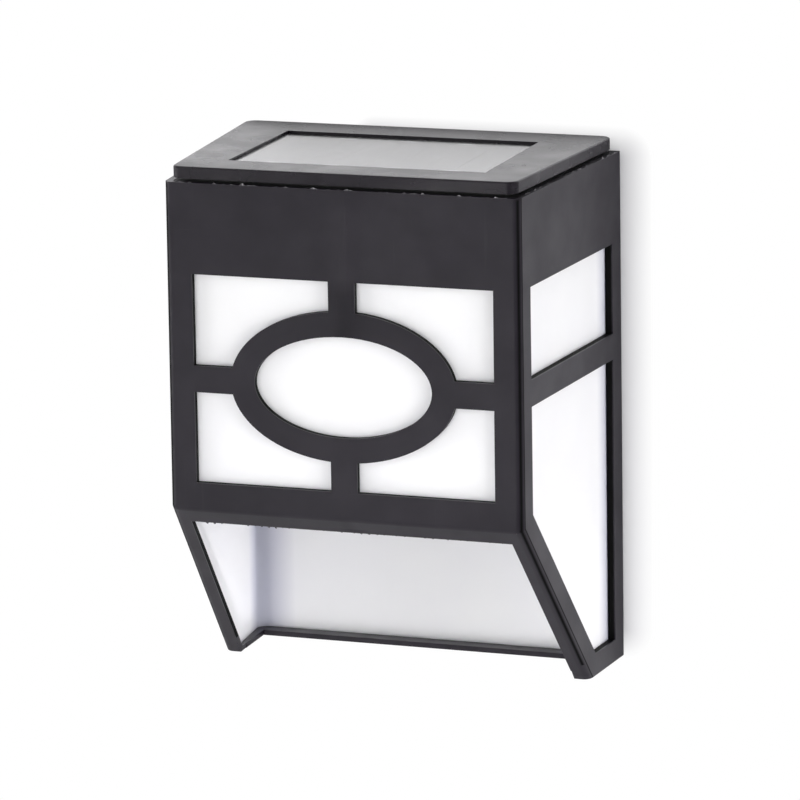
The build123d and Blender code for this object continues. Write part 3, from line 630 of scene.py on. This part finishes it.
# The rim's front edge and its side edges, and the front's lower edge at the bend
rim_top, rim_front, rim_front_half = 14.78 * mm, -74.72 * mm, 47 * mm
side_near_x, side_near_y = 49.55 * mm, -71 * mm
side_far_x, side_far_y = 55.25 * mm, -2 * mm
lower_y, lower_z, lower_half = -70.80 * mm, -79.93 * mm, 44 * mm
fins = [
    ragged_fin(
        (-rim_front_half, rim_front, rim_top), (rim_front_half, rim_front, rim_top),
        outward=(0, 0, 1), sideways=(0, 1, 0), tallest=0.34 * mm, seed=11,
    ),
    ragged_fin(
        (side_near_x, side_near_y, rim_top), (side_far_x, side_far_y, rim_top),
        outward=(0, 0, 1), sideways=(-1, 0, 0), tallest=0.40 * mm, seed=12,
    ),
    ragged_fin(
        (-side_far_x, side_far_y, rim_top), (-side_near_x, side_near_y, rim_top),
        outward=(0, 0, 1), sideways=(1, 0, 0), tallest=0.30 * mm, seed=13,
    ),
    ragged_fin(
        (-lower_half, lower_y, lower_z), (lower_half, lower_y, lower_z),
        outward=(0, 0.35, -0.94), sideways=(0, 0.94, 0.35), tallest=0.30 * mm, seed=14,
    ),
]
skin("mould_flash", fins, whitened_and_highlit, "fixture", smooth=False)

# ---------------------------------------------------------------------------------------------
# Cap screws
# Four self-tapping pan head screws of zinc-plated steel, each with a cross recess. They go up
# through the tray's columns into the cap's bosses, so their heads show from below.
# ---------------------------------------------------------------------------------------------
zinc_plated, tree, shader, place = surface("zinc_plated")
bloom = noise(tree, place, 700.0, 3.0)
fit(
    tree,
    shader,
    mixed(tree, bloom, (0.50, 0.51, 0.53, 1), (0.66, 0.66, 0.67, 1)),
    ramp(tree, bloom, 0.3, 0.7, 0.22, 0.42),
    raised(tree, noise(tree, place, 2500.0, 2.0), 0.01 * mm),
)
shader.inputs["Metallic"].default_value = 1.0

# All in millimetres: the screws' places, their heights and radii, and the cross recess
screw_places = [(-40.69, -65.3), (40.69, -65.3), (-44.35, -14.5), (44.35, -14.5)]
head_low, head_high, thread_end = 4.45, 6.05, 14.05
head_radius, thread_radius, root_radius, thread_pitch = 2.1, 1.1, 0.8, 0.9
dome_rise, edge_round, underside_radius = 0.55, 0.06, 1.4
recess_depth, recess_width, recess_reach, recess_edge = 1.0, 0.5, 1.3, 0.05
screw_sides, head_rings, thread_rows = 64, 26, 84


def round_grid(radius, angle, height):
    """Rings of points about an upright line, one row for each radius and height."""
    radius, angle, height = np.broadcast_arrays(radius, angle, height)
    return np.stack([radius * np.cos(angle), radius * np.sin(angle), height], -1)


def smooth_step(distance):
    """Nothing outside an edge and one inside it, with a soft change between."""
    return 1 / (1 + np.exp(-distance / recess_edge))


def recess_bar(across, along):
    """One bar of the cross recess: a smooth step across its width and along its reach."""
    inside_width = smooth_step(recess_width / 2 - np.abs(across))
    return inside_width * smooth_step(recess_reach - np.abs(along))


def screw(x, y, turn):
    """A profile turned about an upright line, in millimetres, from the middle of the head's
    underside round its edge and up to the point. The recess is the larger of two bars. The
    thread's radius is a triangle wave of the height over the pitch less the turn, and it shrinks
    to nothing towards the point."""
    angle = np.linspace(0, 2 * np.pi, screw_sides, endpoint=False)[None, :]
    share = np.linspace(0.02, 1, head_rings)[:, None]
    radius = head_radius * share
    east, north = radius * np.cos(angle + turn), radius * np.sin(angle + turn)
    cut = np.maximum(recess_bar(east, north), recess_bar(north, east))
    head = round_grid(radius, angle, head_low + dome_rise * share ** 4 + recess_depth * cut)
    neck_radii = [head_radius, head_radius - edge_round, underside_radius, root_radius]
    neck_heights = [head_high - 0.1, head_high, head_high, head_high]
    neck = round_grid(np.array(neck_radii)[:, None], angle, np.array(neck_heights)[:, None])
    height = np.linspace(head_high + 0.05, thread_end, thread_rows)[:, None]
    to_end, from_head = thread_end - height, height - head_high
    wave = 2 * np.abs((height / thread_pitch - angle / (2 * np.pi)) % 1 - 0.5)
    taper = np.clip(to_end / 2.0, 0.06, 1) * np.clip(from_head / 0.5, 0, 1)
    core = root_radius * np.clip(to_end / 1.6, 0.06, 1) ** 0.6
    thread = core + (thread_radius - root_radius) * taper * np.clip(1.6 * wave - 0.6, 0, 1)
    shank = round_grid(thread, angle, height)
    return (np.concatenate([head, neck, shank]) + np.array([x, y, 0])) * mm


screw_turns = np.random.default_rng(21).uniform(0, np.pi, len(screw_places))
screws = [screw(x, y, turn) for (x, y), turn in zip(screw_places, screw_turns)]
pan_screws = skin("pan_screws", screws, zinc_plated, "solar_module")
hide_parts("cap_screws")

# ---------------------------------------------------------------------------------------------
# Battery cell and contacts
# An AA cell in a shrunk sleeve, bare nickel-plated steel at both ends. The contacts are strips
# of nickel-plated spring steel pushed into the tray.
# ---------------------------------------------------------------------------------------------
bare_metal, bare_roughness = (0.62, 0.60, 0.56, 1), 0.26


def part_metal(tree, shader, is_metal, colour, roughness):
    """Turns one region of a piece to bare metal."""
    rough_inputs = {0: is_metal, 2: roughness, 3: bare_roughness}
    rough = node(tree, "Mix", rough_inputs, data_type="FLOAT").outputs[0]
    fit(tree, shader, mixed(tree, is_metal, colour, bare_metal), rough)
    tree.links.new(is_metal, shader.inputs["Metallic"])


cell_sleeve, tree, shader, place = surface("cell_sleeve")
lengthways = axis_of(tree, place, "X")
either_end = maths(tree, "GREATER_THAN", maths(tree, "ABSOLUTE", lengthways), 24.72 * mm)
nub_end = maths(tree, "GREATER_THAN", lengthways, 24.1 * mm)
bare = maths(tree, "MAXIMUM", either_end, nub_end)
clouds = noise(tree, place, 60.0, 3.0)
band = ramp(tree, lengthways, 17.0 * mm, 17.2 * mm)
sleeve = mixed(tree, band, (0.030, 0.115, 0.075, 1), (0.50, 0.50, 0.48, 1))
sleeve = mixed(tree, maths(tree, "MULTIPLY", clouds, 0.35), sleeve, (0.06, 0.16, 0.12, 1))
creases = noise(tree, stretched(tree, place, (40.0, 700.0, 700.0)), 1.0, 2.0)
fit(tree, shader, normal=raised(tree, creases, 0.03 * mm))
part_metal(tree, shader, bare, sleeve, ramp(tree, clouds, 0.3, 0.7, 0.24, 0.36))
dress("battery_cell", cell_sleeve)

nickel_plated, tree, shader, place = surface("nickel_plated")
brushed = noise(tree, stretched(tree, place, (3000.0, 3000.0, 120.0)), 1.0, 3.0)
fit(
    tree,
    shader,
    mixed(tree, brushed, (0.55, 0.53, 0.49, 1), (0.70, 0.68, 0.63, 1)),
    ramp(tree, brushed, 0.3, 0.7, 0.20, 0.36),
    raised(tree, brushed, 0.01 * mm),
)
shader.inputs["Metallic"].default_value = 1.0
dress("contact_positive", nickel_plated)
dress("contact_negative", nickel_plated)

# ---------------------------------------------------------------------------------------------
# Circuit board and its solder joints
# Green solder mask over glass-fibre board, 1.2 mm thick, with copper tracks that show through as
# low ridges. Each leg and lead is held by a small cone of solder.
# ---------------------------------------------------------------------------------------------
board_mask, tree, shader, place = surface("board_mask")
column = maths(tree, "PINGPONG", axis_of(tree, place, "X"), 2.0 * mm)
row = maths(tree, "PINGPONG", axis_of(tree, place, "Y"), 1.5 * mm)
picks = maths(tree, "GREATER_THAN", noise(tree, place, 160.0), 0.5)
in_column = maths(tree, "LESS_THAN", column, 0.5 * mm)
in_row = maths(tree, "LESS_THAN", row, 0.4 * mm)
track = mixed(tree, picks, in_column, in_row)
glass = noise(tree, place, 900.0, 3.0)
plain = mixed(tree, glass, (0.020, 0.115, 0.050, 1), (0.028, 0.150, 0.066, 1))
fit(
    tree,
    shader,
    mixed(tree, track, plain, (0.045, 0.210, 0.085, 1)),
    ramp(tree, glass, 0.3, 0.7, 0.26, 0.38),
    raised(tree, track, 0.03 * mm),
)
dress("circuit_board", board_mask)

# In millimetres: the board's upper face, and where each joint is and how wide. They belong to
# the lamps' legs, the leads from the battery and the panel, the chip and the coil.
board_high = 3.65
cone_sides, cone_rings, cone_rim = 28, 12, 0.04
joint_spots = (
    [(side * 19 + leg * 1.27, -51.5, 0.80) for side in (-1, 1) for leg in (-1, 1)]
    + [(side * 15, -38.5, 1.15) for side in (-1, 1)]
    + [(side * 4, -44.5, 1.15) for side in (-1, 1)]
    + [(8 + offset, -54, 0.42) for offset in (-1.5, -0.5, 0.5, 1.5)]
    + [(-8 + side * 5.1, -52, 0.80) for side in (-1, 1)]
)


def solder_cone(x, y, width):
    """A fillet of solder turned about an upright line, in millimetres. From its rim to its
    middle it rises with the power 2.2 of the share of the way, to 1.05 times its width."""
    angle = np.linspace(0, 2 * np.pi, cone_sides, endpoint=False)[None, :]
    share = np.linspace(0, 1, cone_rings)[:, None]
    radius = width * (1 - share) + cone_rim
    height = board_high + 0.03 + width * 1.05 * share ** 2.2
    foot = round_grid(radius[:1], angle, board_high - 0.04)
    cone = round_grid(radius, angle, height)
    return (np.concatenate([foot, cone]) + np.array([x, y, 0])) * mm


tinned, tree, shader, place = surface("tinned")
tarnish = noise(tree, place, 1500.0, 3.0)
fit(
    tree,
    shader,
    mixed(tree, tarnish, (0.60, 0.61, 0.62, 1), (0.76, 0.76, 0.76, 1)),
    ramp(tree, tarnish, 0.3, 0.7, 0.18, 0.36),
    raised(tree, tarnish, 0.02 * mm),
)
shader.inputs["Metallic"].default_value = 1.0
cones = [solder_cone(*spot) for spot in joint_spots]
skin("solder_joints", cones, tinned, "solar_module")

# ---------------------------------------------------------------------------------------------
# Cell links
# Flat tinned ribbons join each strip of silicon to the next, at the back and the front by
# turns. They are soldered on before the resin is poured.
# ---------------------------------------------------------------------------------------------
strip_pitch, cells_high = 8.6, 17.55
back_row, front_row = -18.6, -57.2
link_count, link_stations = 7, 15
link_reach, link_half_width, link_half_thickness = 2.4, 0.7, 0.03

# A bell curve lifts the ribbon over the gap between two strips
reach = np.linspace(-link_reach, link_reach, link_stations)[:, None]
rise = 0.02 + 0.10 * np.exp(-(reach / 0.8) ** 2)
corners = np.array([(-1, -1), (1, -1), (1, 1), (-1, 1)])
links = []
for link in range(link_count):
    middle = (link - link_count // 2) * strip_pitch
    row_y = back_row if link % 2 else front_row
    ribbon = np.broadcast_arrays(
        middle + reach,
        row_y + link_half_width * corners[:, 0],
        cells_high + rise + link_half_thickness * corners[:, 1],
    )
    links.append(np.stack(ribbon, -1) * mm)
skin("cell_links", links, tinned, "solar_module", smooth=False)

# ---------------------------------------------------------------------------------------------
# Lamps
# Two 5 mm light-emitting diodes, cast in clear epoxy with a pale yellow phosphor cup inside.
# They stand nose down in the tray's floor, and their steel legs go up through the board.
# ---------------------------------------------------------------------------------------------
lamp_epoxy, tree, shader, place = surface("lamp_epoxy")
height = axis_of(tree, place, "Z")
leg = maths(tree, "GREATER_THAN", height, -0.13 * mm)
core = ramp(tree, height, -5.5 * mm, -2.0 * mm)
tint = mixed(tree, core, (0.90, 0.91, 0.90, 1), (0.88, 0.74, 0.25, 1))
tint = mixed(tree, maths(tree, "MULTIPLY", noise(tree, place, 500.0), 0.2), tint, (1, 1, 1, 1))
part_metal(tree, shader, leg, tint, ramp(tree, noise(tree, place, 300.0), 0.3, 0.7, 0.05, 0.12))
shader.inputs["IOR"].default_value = 1.53
shader.inputs["Transmission Weight"].default_value = 0.35
shader.inputs["Subsurface Weight"].default_value = 0.3
shader.inputs["Subsurface Scale"].default_value = 1.0 * mm
dress("led_left", lamp_epoxy)
dress("led_right", lamp_epoxy)

# ---------------------------------------------------------------------------------------------
# Switch, driver chip and coil
# The slide switch has a folded tin shell and a white nylon knob. The chip is black epoxy on four
# tinned legs, and the coil is wound on a ferrite rod and dipped in green lacquer.
# ---------------------------------------------------------------------------------------------
shell_tin, tree, shader, place = surface("shell_tin")
rolled = noise(tree, stretched(tree, place, (2000.0, 150.0, 2000.0)), 1.0, 2.0)
fit(
    tree,
    shader,
    mixed(tree, rolled, (0.45, 0.45, 0.46, 1), (0.60, 0.60, 0.60, 1)),
    ramp(tree, rolled, 0.3, 0.7, 0.25, 0.40),
    raised(tree, rolled, 0.01 * mm),
)
shader.inputs["Metallic"].default_value = 1.0
dress("switch_body", shell_tin)

knob_white, tree, shader, place = surface("knob_white")
fine = noise(tree, place, 1200.0, 3.0)
grime = ramp(tree, noise(tree, place, 500.0, 2.0), 0.5, 0.8, 0.0, 0.5)
fit(
    tree,
    shader,
    mixed(tree, grime, (0.72, 0.71, 0.68, 1), (0.50, 0.48, 0.44, 1)),
    ramp(tree, fine, 0.3, 0.7, 0.38, 0.50),
    raised(tree, fine, 0.02 * mm),
)
dress("switch_knob", knob_white)

chip_epoxy, tree, shader, place = surface("chip_epoxy")
gritty = noise(tree, place, 3000.0, 3.0)
body_black = mixed(tree, gritty, (0.014, 0.014, 0.015, 1), (0.030, 0.030, 0.031, 1))
fit(tree, shader, normal=raised(tree, gritty, 0.02 * mm))
leg = maths(tree, "LESS_THAN", axis_of(tree, place, "Z"), 4.64 * mm)
part_metal(tree, shader, leg, body_black, ramp(tree, gritty, 0.3, 0.7, 0.50, 0.66))
dress("driver_chip", chip_epoxy)

# The wire's turns are a ripple along the rod, one turn to each thickness of the wire
wire_radius = 0.11 * mm
coil_green, tree, shader, place = surface("coil_green")
from_middle = maths(tree, "SUBTRACT", axis_of(tree, place, "X"), -8.0 * mm)
ripple = maths(tree, "DIVIDE", maths(tree, "PINGPONG", from_middle, wire_radius), wire_radius)
lacquer = mixed(tree, noise(tree, place, 400.0), (0.020, 0.120, 0.085, 1), (0.035, 0.180, 0.120, 1))
fit(tree, shader, normal=raised(tree, ripple, 0.05 * mm))
bare = maths(tree, "GREATER_THAN", maths(tree, "ABSOLUTE", from_middle), 3.55 * mm)
part_metal(tree, shader, bare, lacquer, ramp(tree, noise(tree, place, 600.0), 0.3, 0.7, 0.16, 0.28))
dress("inductor_coil", coil_green)


# ---------------------------------------------------------------------------------------------
# Leads
# Stranded copper in soft vinyl, red for plus and black for minus, soldered at both ends. One
# pair comes from the battery's contacts and one from the solar panel.
# ---------------------------------------------------------------------------------------------
def vinyl(name, dark, light):
    """Soft vinyl insulation: two close tones, with low waves from the strands beneath."""
    mat, tree, shader, place = surface(name)
    soft = noise(tree, place, 250.0, 2.0)
    fit(
        tree,
        shader,
        mixed(tree, soft, (*dark, 1), (*light, 1)),
        ramp(tree, soft, 0.3, 0.7, 0.34, 0.46),
        raised(tree, noise(tree, place, 900.0), 0.03 * mm),
    )
    return mat


vinyl_red = vinyl("vinyl_red", (0.34, 0.018, 0.014), (0.46, 0.030, 0.022))
vinyl_black = vinyl("vinyl_black", (0.012, 0.012, 0.013), (0.024, 0.024, 0.025))
for source in ("battery", "panel"):
    dress(source + "_lead_positive", vinyl_red)
    dress(source + "_lead_negative", vinyl_black)
